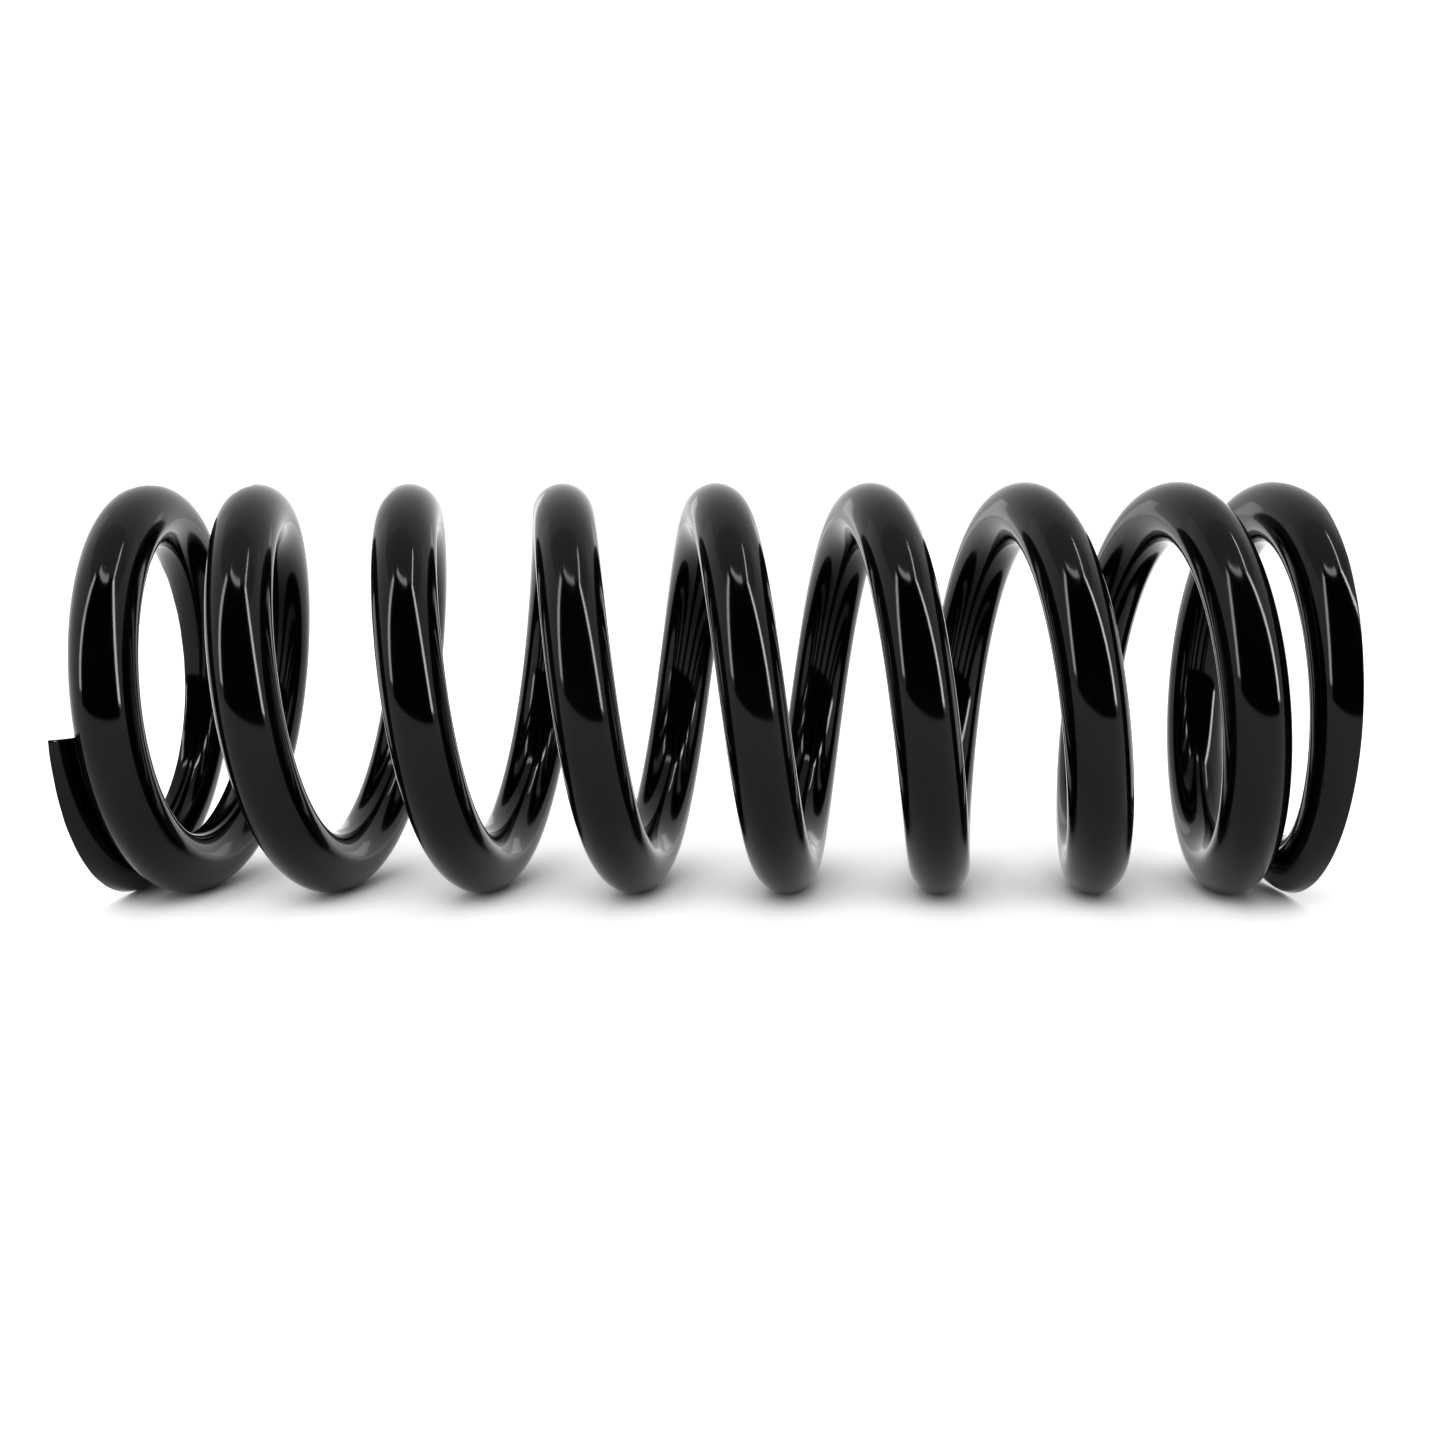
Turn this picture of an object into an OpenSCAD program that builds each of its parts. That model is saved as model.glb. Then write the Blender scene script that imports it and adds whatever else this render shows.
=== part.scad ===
// Helical compression spring for a coil-over suspension unit.
// It is wound right-handed from round wire, and both ends are closed and ground flat.
// It lies on its side: the axis runs along X, Z is up, and the origin is the point where
// the axis meets the left seat, which is the ground face at x = 0.
//
// The real spring is one length of wire. Here planes through the axis divide it into
// stretches: one dead coil at each end, and quarter turns between them. A cut plane holds
// the sliding direction, so each stretch can move along the axis past the next one, which
// is how the coils of a closing spring move.
//
// Places along the wire are given as an angle about the axis, counted from the front
// (-Y) through the bottom (-Z), the back (+Y) and the top (+Z), and on past 360.

/* [Coil] */
// Inside diameter, which fits round the damper's spring seats
inner_diameter = 63.5; // [60:0.5:70]
// Diameter of the round wire
wire_diameter = 13.1; // [11:0.1:13.4]
// Length between the two ground faces with no load
free_length = 254; // [235:1:300]
// Whole turns from the front of the left wire end to the front of the right end coil
whole_turns = 9; // [8:1:10]

/* [Ends] */
// How far below the front the left wire end is cut, in degrees
left_tip_angle = 12.5; // [5:0.5:30]
// How far past the front the right wire end is cut, in degrees
right_tip_angle = 126; // [100:1:132]
// Thickness left on each wire end after grinding
tip_thickness = 3.1; // [2.5:0.1:4]
// Gap between a closed end coil and the coil beside it
closed_gap = 0.3; // [0.2:0.05:0.6]
// Turns at the left end before the pitch starts to open
left_closed_turns = 0.75; // [0.65:0.01:0.8]
// Turns over which the pitch opens at the left end
left_opening_turns = 0.94; // [0.8:0.01:1.2]
// Turns at the right end after the pitch has closed
right_closed_turns = 0.49; // [0.4:0.01:0.8]
// Turns over which the pitch closes at the right end
right_opening_turns = 1.51; // [1:0.01:1.6]

/* [Stretches] */
// Clearance between the cut faces of two neighbouring stretches
cut_clearance = 0.04; // [0.02:0.01:0.1]
// Sides of the wire's round section
section_sides = 24; // [16:2:28]
// Steps along the wire in each quarter turn
quarter_steps = 8; // [4:1:9]

/* [Hidden] */
wire_radius = wire_diameter / 2;
coil_radius = (inner_diameter + wire_diameter) / 2;
outer_radius = coil_radius + wire_radius;
turn_length = 2 * PI * coil_radius;
total_turns = whole_turns + (right_tip_angle - left_tip_angle) / 360;

// The middle of the wire lies outside the ground plane at each tip, because more than
// half of the wire is ground away there.
left_tip_x = tip_thickness - wire_radius;
right_tip_x = free_length - left_tip_x;
closed_pitch = wire_diameter + closed_gap;
extra_pitch = (right_tip_x - left_tip_x - closed_pitch * total_turns) / open_turns(total_turns);

// Angles where the wire is divided.
QUARTER = 90;
first_cut = 360 - QUARTER / 2;
last_cut = 360 * (whole_turns - 1) + 1.5 * QUARTER;
quarter_count = round((last_cut - first_cut) / QUARTER);
right_tip = 360 * whole_turns + right_tip_angle;
cut_back = cut_clearance / 2 / turn_length * 360;

SIDES = ["front", "bottom", "back", "top"];
QUARTERS = [for (i = [0 : quarter_count - 1]) str("coil_", floor(i / 4) + 1, "_", SIDES[i % 4])];

// Share of a ramp that rises smoothly from 0 to 1, and the area under it up to u.
function clipped(u) = max(0, min(1, u));
function ramp(u) = pow(clipped(u), 2) * (3 - 2 * clipped(u));
function ramp_area(u) = pow(clipped(u), 3) - pow(clipped(u), 4) / 2 + max(0, u - 1);

// How open the coils are, t turns from the left tip: 0 is closed and 1 is the active pitch.
function left_share(t) = ramp((t - left_closed_turns) / left_opening_turns);
function right_share(t) = ramp((total_turns - t - right_closed_turns) / right_opening_turns);
function openness(t) = left_share(t) + right_share(t) - 1;

// The area under openness from the left tip to t.
function left_area(t) = left_opening_turns * ramp_area((t - left_closed_turns) / left_opening_turns);
function right_area(t) =
    right_opening_turns * ramp_area((total_turns - t - right_closed_turns) / right_opening_turns);
function open_turns(t) = left_area(t) + right_area(0) - right_area(t) - t;

// Place of the wire's centre line along X, and its slope there.
function turns_at(angle) = (angle - left_tip_angle) / 360;
function wire_x(t) = left_tip_x + closed_pitch * t + extra_pitch * open_turns(t);
function wire_slope(t) = (closed_pitch + extra_pitch * openness(t)) / turn_length;

// The wire's outline where a plane through the axis cuts it. The wire crosses that plane
// at a slant, so the outline is a little longer along X than the wire is wide.
function section(angle) =
    let (t = turns_at(angle), half_width = wire_radius * sqrt(1 + pow(wire_slope(t), 2)))
    [for (k = [0 : section_sides - 1])
        let (a = 360 * k / section_sides, reach = coil_radius + wire_radius * cos(a))
        [wire_x(t) + half_width * sin(a), -reach * cos(angle), -reach * sin(angle)]];

// A length of the wire between two angles.
module wire(from, to) {
    steps = ceil((to - from) / QUARTER * quarter_steps - 0.001);
    points = [for (i = [0 : steps]) each section(from + (to - from) * i / steps)];
    near_end = [for (k = [section_sides - 1 : -1 : 0]) k];
    far_end = [for (k = [0 : section_sides - 1]) steps * section_sides + k];
    sides = [for (i = [0 : steps - 1], k = [0 : section_sides - 1])
        let (a = i * section_sides + k, b = i * section_sides + (k + 1) % section_sides,
            c = b + section_sides, d = a + section_sides)
        each [[a, b, c], [a, c, d]]];
    polyhedron(points = points, faces = concat([near_end, far_end], sides), convexity = 6);
}

// The material that grinding takes off beyond a seat. The seat is at x, and side is -1 for
// the left seat and 1 for the right one.
module ground_off(x, side) {
    depth = wire_diameter;
    width = 2 * outer_radius + wire_diameter;
    translate([x + side * depth / 2, 0, 0]) cube([depth, width, width], center = true);
}

module left_end_coil() {
    color([0.07, 0.07, 0.08]) difference() {
        wire(left_tip_angle, first_cut - cut_back);
        ground_off(0, -1);
    }
}

module quarter_coil(i) {
    from = first_cut + QUARTER * i;
    color([0.05, 0.05, 0.06]) wire(from + cut_back, from + QUARTER - cut_back);
}

module right_end_coil() {
    color([0.07, 0.07, 0.08]) difference() {
        wire(last_cut + cut_back, right_tip);
        ground_off(free_length, 1);
    }
}

left_end_coil();
for (i = [0 : quarter_count - 1]) quarter_coil(i);
right_end_coil();
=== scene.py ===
import math

import bmesh
import bpy
from mathutils import Matrix, Vector
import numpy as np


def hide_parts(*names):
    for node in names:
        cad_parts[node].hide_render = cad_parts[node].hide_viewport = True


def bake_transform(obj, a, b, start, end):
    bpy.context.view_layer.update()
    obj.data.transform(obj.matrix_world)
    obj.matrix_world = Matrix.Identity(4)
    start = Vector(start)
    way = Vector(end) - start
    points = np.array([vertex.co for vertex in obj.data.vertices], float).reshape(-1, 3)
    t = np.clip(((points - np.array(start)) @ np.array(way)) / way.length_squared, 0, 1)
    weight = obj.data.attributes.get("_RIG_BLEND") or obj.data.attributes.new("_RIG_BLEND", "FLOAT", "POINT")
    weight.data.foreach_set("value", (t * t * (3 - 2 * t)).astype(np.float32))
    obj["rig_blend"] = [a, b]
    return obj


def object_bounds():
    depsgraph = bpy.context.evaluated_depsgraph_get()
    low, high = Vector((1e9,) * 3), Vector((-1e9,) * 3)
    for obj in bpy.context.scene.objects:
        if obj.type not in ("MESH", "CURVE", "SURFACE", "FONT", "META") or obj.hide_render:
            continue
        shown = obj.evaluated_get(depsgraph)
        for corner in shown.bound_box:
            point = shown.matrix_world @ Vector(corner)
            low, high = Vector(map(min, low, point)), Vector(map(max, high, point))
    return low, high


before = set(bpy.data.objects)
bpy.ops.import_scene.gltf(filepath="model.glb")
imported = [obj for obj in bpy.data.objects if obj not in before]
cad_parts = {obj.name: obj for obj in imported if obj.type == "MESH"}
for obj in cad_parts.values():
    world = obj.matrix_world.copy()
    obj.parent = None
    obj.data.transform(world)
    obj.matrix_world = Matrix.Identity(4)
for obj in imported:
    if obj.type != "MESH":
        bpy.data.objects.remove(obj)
cad_low, cad_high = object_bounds()
scene = bpy.context.scene

# Camera: a normal lens at about the height of the coils' shoulders, a third of a metre in
# front of the spring and level with its middle, tipped down until the spring sits in the
# centre of the picture.
free_length = cad_high.x - cad_low.x
camera_data = bpy.data.cameras.new("studio_camera")
camera_data.lens = 39.23
camera_data.sensor_width = 36.0
camera = bpy.data.objects.new("studio_camera", camera_data)
scene.collection.objects.link(camera)
camera.location = (free_length / 2 + 0.0095, -0.3463, 0.0215)
camera_tip = math.radians(90 - 4.784)
camera_turn = math.radians(0.94)
camera_lean = math.radians(-0.086)
camera.rotation_euler = (
    Matrix.Rotation(camera_turn, 3, "Z")
    @ Matrix.Rotation(camera_tip, 3, "X")
    @ Matrix.Rotation(camera_lean, 3, "Z")
).to_euler()
scene.camera = camera

# Spring wire: one length of round oil-tempered spring steel, coiled hot into nine and a third
# turns. Both end turns are closed down onto their neighbours and ground flat so that the
# spring stands square, and the whole of it is the one piece that the coil nodes stand for.
wire_diameter = 0.0131
coil_radius = (cad_high.z - cad_low.z - wire_diameter) / 2
wire_radius = wire_diameter / 2
left_tip_degrees, right_tip_degrees = 12.5, 126
total_turns = 9 + (right_tip_degrees - left_tip_degrees) / 360
left_tip_angle = math.radians(left_tip_degrees)
tip_thickness = 0.0031
closed_pitch = wire_diameter + 0.0003
left_closed_turns, left_opening_turns = 0.75, 0.94
right_closed_turns, right_opening_turns = 0.49, 1.51
left_tip_x = cad_low.x + tip_thickness - wire_radius
right_tip_x = cad_high.x - tip_thickness + wire_radius


def eased(share):
    """0 to 1 with level ends."""
    share = min(max(share, 0.0), 1.0)
    return share * share * (3 - 2 * share)


def eased_area(share):
    """What eased() adds up to from 0 as far as share."""
    inside = min(max(share, 0.0), 1.0)
    return inside**3 - inside**4 / 2 + max(0.0, share - 1)


def openness(turns):
    """How far open the coils are at that many turns from the left tip, from 0 to 1."""
    left = eased((turns - left_closed_turns) / left_opening_turns)
    right = eased((total_turns - turns - right_closed_turns) / right_opening_turns)
    return left + right - 1


def open_turns(turns):
    """The whole of the opening between the left tip and that turn."""
    def right_area(at):
        return right_opening_turns * eased_area(
            (total_turns - at - right_closed_turns) / right_opening_turns
        )
    left = left_opening_turns * eased_area((turns - left_closed_turns) / left_opening_turns)
    return left + right_area(0) - right_area(turns) - turns


extra_pitch = (right_tip_x - left_tip_x - closed_pitch * total_turns) / open_turns(total_turns)


def wire_x(turns):
    return left_tip_x + closed_pitch * turns + extra_pitch * open_turns(turns)


def climb(turns):
    """Rise of the wire's centre line along the axis, for each metre round the coil."""
    pitch = closed_pitch + extra_pitch * openness(turns)
    return pitch / (2 * math.pi * coil_radius)


section_sides = 48
steps_per_turn = 144
even_pitch = (right_tip_x - left_tip_x) / total_turns
spare_turns = 0.012
whole_turns = math.floor(total_turns)
part_turns = total_turns - whole_turns + spare_turns

# A ring of the bar's own outline is turned round the axis, first through the part turn and then
# through one whole turn, and that turn is repeated along the axis.
wire_mesh = bmesh.new()
bmesh.ops.create_circle(wire_mesh, segments=section_sides, radius=wire_radius)
to_tip = Matrix.Rotation(left_tip_angle - spare_turns * 2 * math.pi, 4, "X") @ Matrix.Translation(
    (left_tip_x - spare_turns * even_pitch, -coil_radius, 0)
)
bmesh.ops.transform(wire_mesh, matrix=to_tip, verts=wire_mesh.verts)


def coil_on(ring, turns):
    """Carries a ring of the wire round that many evenly open turns."""
    steps = round(turns * steps_per_turn)
    coiled = bmesh.ops.spin(
        wire_mesh,
        geom=ring,
        axis=(1, 0, 0),
        cent=(0, 0, 0),
        dvec=(even_pitch * turns / steps, 0, 0),
        angle=turns * 2 * math.pi,
        steps=steps,
    )
    return coiled["geom_last"]


last_ring = coil_on(wire_mesh.verts[:] + wire_mesh.edges[:], part_turns)
part_faces = set(wire_mesh.faces)
coil_on(last_ring, 1)
one_turn = [face for face in wire_mesh.faces if face not in part_faces]
for whole in range(1, whole_turns):
    copy = bmesh.ops.duplicate(wire_mesh, geom=one_turn)
    bmesh.ops.translate(
        wire_mesh,
        vec=(even_pitch * whole, 0, 0),
        verts=[part for part in copy["geom"] if isinstance(part, bmesh.types.BMVert)],
    )
bmesh.ops.remove_doubles(wire_mesh, verts=wire_mesh.verts, dist=1e-6)
bmesh.ops.holes_fill(wire_mesh, edges=wire_mesh.edges, sides=0)

# The even coil is closed up at its ends and opened out between them. A bar cut along the axis
# shows a slight oval, as it climbs, so the wire is widened along the axis to stay round.
turns_along = wire_mesh.verts.layers.float.new("turns_along")
on_straight_bar = wire_mesh.verts.layers.float_vector.new("on_straight_bar")
for vertex in wire_mesh.verts:
    x, y, z = vertex.co
    part_turn = (math.atan2(-z, -y) - left_tip_angle) / (2 * math.pi)
    turns = part_turn + round((x - left_tip_x) / even_pitch - part_turn)
    beside = x - left_tip_x - even_pitch * turns
    vertex[turns_along] = turns
    vertex[on_straight_bar] = (
        turns * 2 * math.pi * coil_radius, math.hypot(y, z) - coil_radius, beside,
    )
    vertex.co.x = wire_x(turns) + beside * math.hypot(1, climb(turns))
bmesh.ops.recalc_face_normals(wire_mesh, faces=wire_mesh.faces)


def cut_off(parts, point, outward):
    """Cuts parts of the wire along a plane and closes the cut with one flat face."""
    cut = bmesh.ops.bisect_plane(
        wire_mesh,
        geom=parts,
        dist=1e-6,
        plane_co=point,
        plane_no=outward,
        clear_outer=True,
    )
    rim = [part for part in cut["geom_cut"] if isinstance(part, bmesh.types.BMEdge)]
    bmesh.ops.holes_fill(wire_mesh, edges=rim, sides=0)


# The left tip was sheared a little off square: its cut face lies almost level. The right tip
# keeps the square cut that it was filled with.
tip_slant = math.radians(12)
tip_lift = math.radians(1.5)
tip_reach = 0.1
tip_centre = Vector((0, -coil_radius, 0))
tip_centre.rotate(Matrix.Rotation(left_tip_angle - tip_lift, 3, "X"))
tip_normal = Vector((0, 0, 1))
tip_normal.rotate(Matrix.Rotation(left_tip_angle - tip_slant, 3, "X"))
tip_faces = [
    face for face in wire_mesh.faces
    if max(vertex[turns_along] for vertex in face.verts) < tip_reach
]
tip_parts = {part for face in tip_faces for part in (face, *face.edges, *face.verts)}
cut_off(list(tip_parts), tip_centre, tip_normal)

# Both ends are ground square to the axis, and the grinding leaves a narrow broken edge. Points
# next to the cut are brought onto it first, which keeps slivers out of that edge. Where the
# wire runs out of the seat at a flat angle there is no edge, and its points stay on the round.
edge_break = 0.0002
steep_enough = 0.4
sharp_edge = math.radians(20)
seat_area = 0.0005
wire_mesh.normal_update()
for seat_x, outward in ((cad_low.x, -1), (cad_high.x, 1)):
    for vertex in wire_mesh.verts:
        steepness = math.hypot(vertex.normal.y, vertex.normal.z)
        if abs(vertex.co.x - seat_x) < edge_break * min(1, steepness / steep_enough):
            vertex.co.x = seat_x
    whole_wire = wire_mesh.verts[:] + wire_mesh.edges[:] + wire_mesh.faces[:]
    cut_off(whole_wire, (seat_x, 0, 0), (outward, 0, 0))
bmesh.ops.bevel(
    wire_mesh,
    geom=[edge for edge in wire_mesh.edges if edge.calc_face_angle(0) > sharp_edge],
    offset=edge_break,
    offset_type="OFFSET",
    affect="EDGES",
    segments=2,
    profile=0.5,
    material=-1,
)
# The broken edge can carry a point a few hundredths of a millimetre past a seat: it is put back.
for vertex in wire_mesh.verts:
    vertex.co.x = min(max(vertex.co.x, cad_low.x), cad_high.x)
for face in wire_mesh.faces:
    face.smooth = True
    face.material_index = int(face.calc_area() > seat_area)

spring_mesh = bpy.data.meshes.new("spring_wire")
wire_mesh.to_mesh(spring_mesh)
wire_mesh.free()
spring_wire = bpy.data.objects.new("spring_wire", spring_mesh)
scene.collection.objects.link(spring_wire)
level_seats = spring_wire.modifiers.new("level_seats", "WEIGHTED_NORMAL")
level_seats.mode = "FACE_AREA"


def shader_node(tree, kind, **values):
    """Adds a shader node and sets its inputs, which are named with _ in place of spaces."""
    made = tree.nodes.new(kind)
    for name, value in values.items():
        made.inputs[name.replace("_", " ")].default_value = value
    return made


def powder_coat(name, roughness_low, roughness_high):
    """Gloss black powder coat that follows the bar: a slow orange peel, a fine grain, and the odd
    speck of dust that was baked in. Returns it with its last bump, which other marks can join."""
    coat = bpy.data.materials.new(name)
    coat.use_nodes = True
    tree = coat.node_tree
    link = tree.links.new
    shader = tree.nodes["Principled BSDF"]
    shader.inputs["IOR"].default_value = 1.37
    bar = tree.nodes.new("ShaderNodeAttribute")
    bar.attribute_name = "on_straight_bar"

    cloud = shader_node(tree, "ShaderNodeTexNoise", Scale=60.0, Detail=3.0)
    link(bar.outputs["Vector"], cloud.inputs["Vector"])
    shade = tree.nodes.new("ShaderNodeValToRGB")
    darkest, lightest = shade.color_ramp.elements
    darkest.position, darkest.color = 0.35, (0.0005, 0.0005, 0.0007, 1)
    lightest.position, lightest.color = 0.75, (0.0015, 0.0015, 0.0018, 1)
    link(cloud.outputs["Fac"], shade.inputs["Fac"])
    link(shade.outputs["Color"], shader.inputs["Base Color"])
    gloss = shader_node(
        tree, "ShaderNodeMapRange",
        From_Min=0.3, From_Max=0.7, To_Min=roughness_low, To_Max=roughness_high,
    )
    link(cloud.outputs["Fac"], gloss.inputs["Value"])
    link(gloss.outputs["Result"], shader.inputs["Roughness"])

    orange_peel, grain = (420.0, 0.000006), (3200.0, 0.0000007)
    normal = None
    for scale, height in (orange_peel, grain):
        ripple = shader_node(tree, "ShaderNodeTexNoise", Scale=scale, Detail=1.0)
        link(bar.outputs["Vector"], ripple.inputs["Vector"])
        bump = shader_node(tree, "ShaderNodeBump", Distance=height)
        link(ripple.outputs["Fac"], bump.inputs["Height"])
        if normal:
            link(normal, bump.inputs["Normal"])
        normal = bump.outputs["Normal"]

    specks = shader_node(tree, "ShaderNodeTexVoronoi", Scale=110.0)
    link(bar.outputs["Vector"], specks.inputs["Vector"])
    dome = shader_node(
        tree, "ShaderNodeMapRange", From_Min=0.0, From_Max=0.045, To_Min=1.0, To_Max=0.0
    )
    dome.interpolation_type = "SMOOTHSTEP"
    link(specks.outputs["Distance"], dome.inputs["Value"])
    bump = shader_node(tree, "ShaderNodeBump", Distance=0.00005)
    link(dome.outputs["Result"], bump.inputs["Height"])
    link(normal, bump.inputs["Normal"])
    link(bump.outputs["Normal"], shader.inputs["Normal"])
    return coat, bump


def ground_seat_coat():
    """The same coat over a ground face: duller, with the wheel's long arcs showing through."""
    coat, last_bump = powder_coat("ground_seat_coat", 0.3, 0.4)
    tree = coat.node_tree
    link = tree.links.new
    place = tree.nodes.new("ShaderNodeTexCoord")
    wheel_offset = 0.12
    centred = shader_node(tree, "ShaderNodeMapping", Location=(0, wheel_offset, 0))
    link(place.outputs["Object"], centred.inputs["Vector"])
    arcs = shader_node(
        tree, "ShaderNodeTexWave", Scale=260.0, Distortion=2.5, Detail=3.0, Detail_Scale=0.6
    )
    arcs.wave_type = "RINGS"
    arcs.rings_direction = "X"
    link(centred.outputs["Vector"], arcs.inputs["Vector"])
    marks = shader_node(tree, "ShaderNodeBump", Distance=0.000018)
    link(arcs.outputs["Fac"], marks.inputs["Height"])
    link(last_bump.outputs["Normal"], marks.inputs["Normal"])
    link(marks.outputs["Normal"], tree.nodes["Principled BSDF"].inputs["Normal"])
    return coat


coil_coat, _ = powder_coat("black_powder_coat", 0.07, 0.12)
spring_mesh.materials.append(coil_coat)
spring_mesh.materials.append(ground_seat_coat())

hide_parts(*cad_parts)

# Each point of the wire follows the right end by the share of the coils' opening that lies
# between it and the left tip, so that all the gaps close together.
blend_inset = 0.01
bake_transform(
    spring_wire, "left_end_coil", "right_end_coil",
    (blend_inset, 0, 0), (free_length - blend_inset, 0, 0),
)
shares = [
    open_turns(turns.value) / open_turns(total_turns)
    for turns in spring_mesh.attributes["turns_along"].data
]
spring_mesh.attributes["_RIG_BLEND"].data.foreach_set("value", shares)

# Floor: a sweep of matt white paper that the spring lies on. Its front edge is close to the
# spring, and it runs back far enough to fill the picture.
floor_mesh = bmesh.new()
bmesh.ops.create_grid(floor_mesh, x_segments=1, y_segments=1, size=1.0)
floor_left, floor_right, floor_front, floor_back = -3.0, 3.0, -0.26, 3.0
for vertex in floor_mesh.verts:
    vertex.co.x = floor_right if vertex.co.x > 0 else floor_left
    vertex.co.y = floor_back if vertex.co.y > 0 else floor_front
    vertex.co.z = cad_low.z
floor_data = bpy.data.meshes.new("studio_floor")
floor_mesh.to_mesh(floor_data)
floor_mesh.free()
studio_floor = bpy.data.objects.new("studio_floor", floor_data)
scene.collection.objects.link(studio_floor)
floor_finish = bpy.data.materials.new("floor_paper")
floor_finish.use_nodes = True
paper = floor_finish.node_tree.nodes["Principled BSDF"]
paper.inputs["Base Color"].default_value = (0.93, 0.92, 0.91, 1)
paper.inputs["Roughness"].default_value = 0.9
paper.inputs["Specular IOR Level"].default_value = 0.1
floor_data.materials.append(floor_finish)


# Studio: a white room with a dark opening in front of the spring and brighter walls beside it.
# Strip lights stand at the opening's edges and behind, with a small lamp and a greyer ceiling
# over them. One broad light, low in front and a little to the left, throws the shadow back.
def bowed(ends_and_middle, share):
    """A smooth run from the first number to the last, drawn towards the middle one."""
    foot, middle, head = ends_and_middle
    return foot * (1 - share) ** 2 + 2 * middle * share * (1 - share) + head * share**2


def hang(card, name, radiance):
    """Hangs a mesh up as a glowing panel that only the coat's gloss sees."""
    data = bpy.data.meshes.new(name)
    card.to_mesh(data)
    card.free()
    panel = bpy.data.objects.new(name, data)
    scene.collection.objects.link(panel)
    glow = bpy.data.materials.new(name)
    glow.use_nodes = True
    glow.node_tree.nodes.clear()
    emission = glow.node_tree.nodes.new("ShaderNodeEmission")
    emission.inputs["Strength"].default_value = radiance
    surface = glow.node_tree.nodes.new("ShaderNodeOutputMaterial")
    glow.node_tree.links.new(emission.outputs[0], surface.inputs["Surface"])
    data.materials.append(glow)
    panel.visible_camera = False
    panel.visible_diffuse = False
    panel.visible_shadow = False
    panel.visible_transmission = False


def studio_card(name, foot, head, left, right, radiance, distance=3.0):
    """A panel on a sphere round the spring. foot and head are its heights in degrees above the
    horizon. left and right are its sides' bearings, in degrees from straight in front, at the
    foot, on the way and at the head."""
    card = bmesh.new()
    bmesh.ops.create_grid(card, x_segments=32, y_segments=32, size=0.5)
    for vertex in card.verts:
        across, up = vertex.co.x + 0.5, vertex.co.y + 0.5
        left_side, right_side = bowed(left, up), bowed(right, up)
        bearing = math.radians(left_side + (right_side - left_side) * across)
        height = math.radians(foot + (head - foot) * up)
        vertex.co = Vector((0, -distance, 0))
        vertex.co.rotate(Matrix.Rotation(-height, 3, "X"))
        vertex.co.rotate(Matrix.Rotation(bearing, 3, "Z"))
    bmesh.ops.translate(card, verts=card.verts, vec=(free_length / 2, 0, 0))
    hang(card, name, radiance)


studio_card("front_opening", -30, 62, (-60, -59, -46), (66, 64, 49), 0.0)
studio_card("left_wall", -1, 46, (-130, -130, -130), (-57, -56, -50), 1.5)
studio_card("right_wall", -1, 46, (62, 62, 53), (130, 130, 130), 1.5)
lamp_distance = 2.8
studio_card("left_strip", 0, 56, (-65, -62, -54.5), (-57, -54, -46.5), 12.0, lamp_distance)
studio_card("right_strip", 0, 59, (62, 59, 50), (70, 67, 58), 20.0, lamp_distance)
studio_card("upper_right_strip", 59, 69, (54, 58, 93), (62, 70, 109), 18.0, lamp_distance)
studio_card("top_lamp", 62, 66.5, (-40, -40, -40), (26, 26, 26), 9.0, lamp_distance)
for name, bearing in (("rear_right_strip", 156), ("rear_left_strip", -156)):
    side = (bearing - 4, bearing - 4, bearing - 4), (bearing + 4, bearing + 4, bearing + 4)
    studio_card(name, 0, 20, *side, 2.0, lamp_distance)

ceiling = bmesh.new()
ceiling_low, ceiling_high = Vector((-2.6, -1.5, 2.75)), Vector((2.75, 0.55, 2.75))
bmesh.ops.create_grid(ceiling, x_segments=1, y_segments=1, size=0.5)
bmesh.ops.scale(ceiling, verts=ceiling.verts, vec=ceiling_high - ceiling_low)
bmesh.ops.translate(
    ceiling, verts=ceiling.verts,
    vec=(ceiling_low + ceiling_high) / 2 + Vector((free_length / 2, 0, 0)),
)
hang(ceiling, "ceiling", 0.95)

key_data = bpy.data.lights.new("key_light", "SUN")
key_data.energy = 3.2
key_data.angle = math.radians(68)
key_light = bpy.data.objects.new("key_light", key_data)
key_light.rotation_euler = (math.radians(63), 0, math.radians(-15))
key_light.visible_glossy = False
scene.collection.objects.link(key_light)

world = bpy.data.worlds.new("studio")
scene.world = world
world.use_nodes = True
world.node_tree.nodes["Background"].inputs["Color"].default_value = (1, 1, 1, 1)
world.node_tree.nodes["Background"].inputs["Strength"].default_value = 1.2

scene.view_settings.view_transform = "Standard"
scene.view_settings.gamma = 0.8
